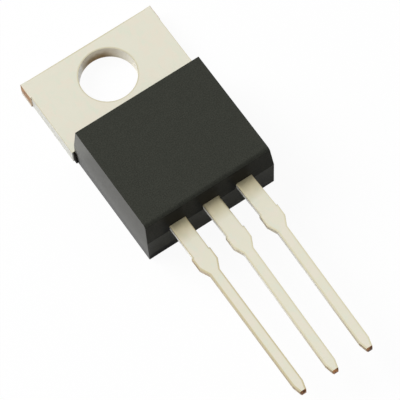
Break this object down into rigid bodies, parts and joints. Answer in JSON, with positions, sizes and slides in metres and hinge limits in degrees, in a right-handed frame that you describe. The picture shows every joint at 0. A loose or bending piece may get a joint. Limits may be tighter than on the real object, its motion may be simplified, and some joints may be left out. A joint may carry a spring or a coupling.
{
  "type": "power transistor",
  "caption": "Through-hole power transistor: black moulded body, tinned metal tab with one mounting hole, three flat tinned leads in a row.",
  "frame": {"origin": "axis of the mounting hole at the back face of the tab", "axes": "+Z out of the marked front face of the body, +Y to the free end of the tab with the leads toward -Y, +X to the right seen from the front with the leads down; the part lies on its back"},
  "size_m": [0.0103, 0.029, 0.0046],
  "materials": {
    "epoxy": "fine matte black moulding compound",
    "tinned_copper": "matte tin plate over copper, bare copper where it was sheared",
    "silicon": "polished grey silicon",
    "solder": "dull grey solder",
    "bond_aluminium": "bright drawn wire"
  },
  "bodies": {
    "root": {"moulded_body": "epoxy", "tab_with_middle_lead": "tinned_copper", "base_lead": "tinned_copper", "emitter_lead": "tinned_copper", "silicon_die": "silicon", "die_solder": "solder", "base_bond_wire": "bond_aluminium", "emitter_bond_wire": "bond_aluminium"}
  },
  "joints": []
}
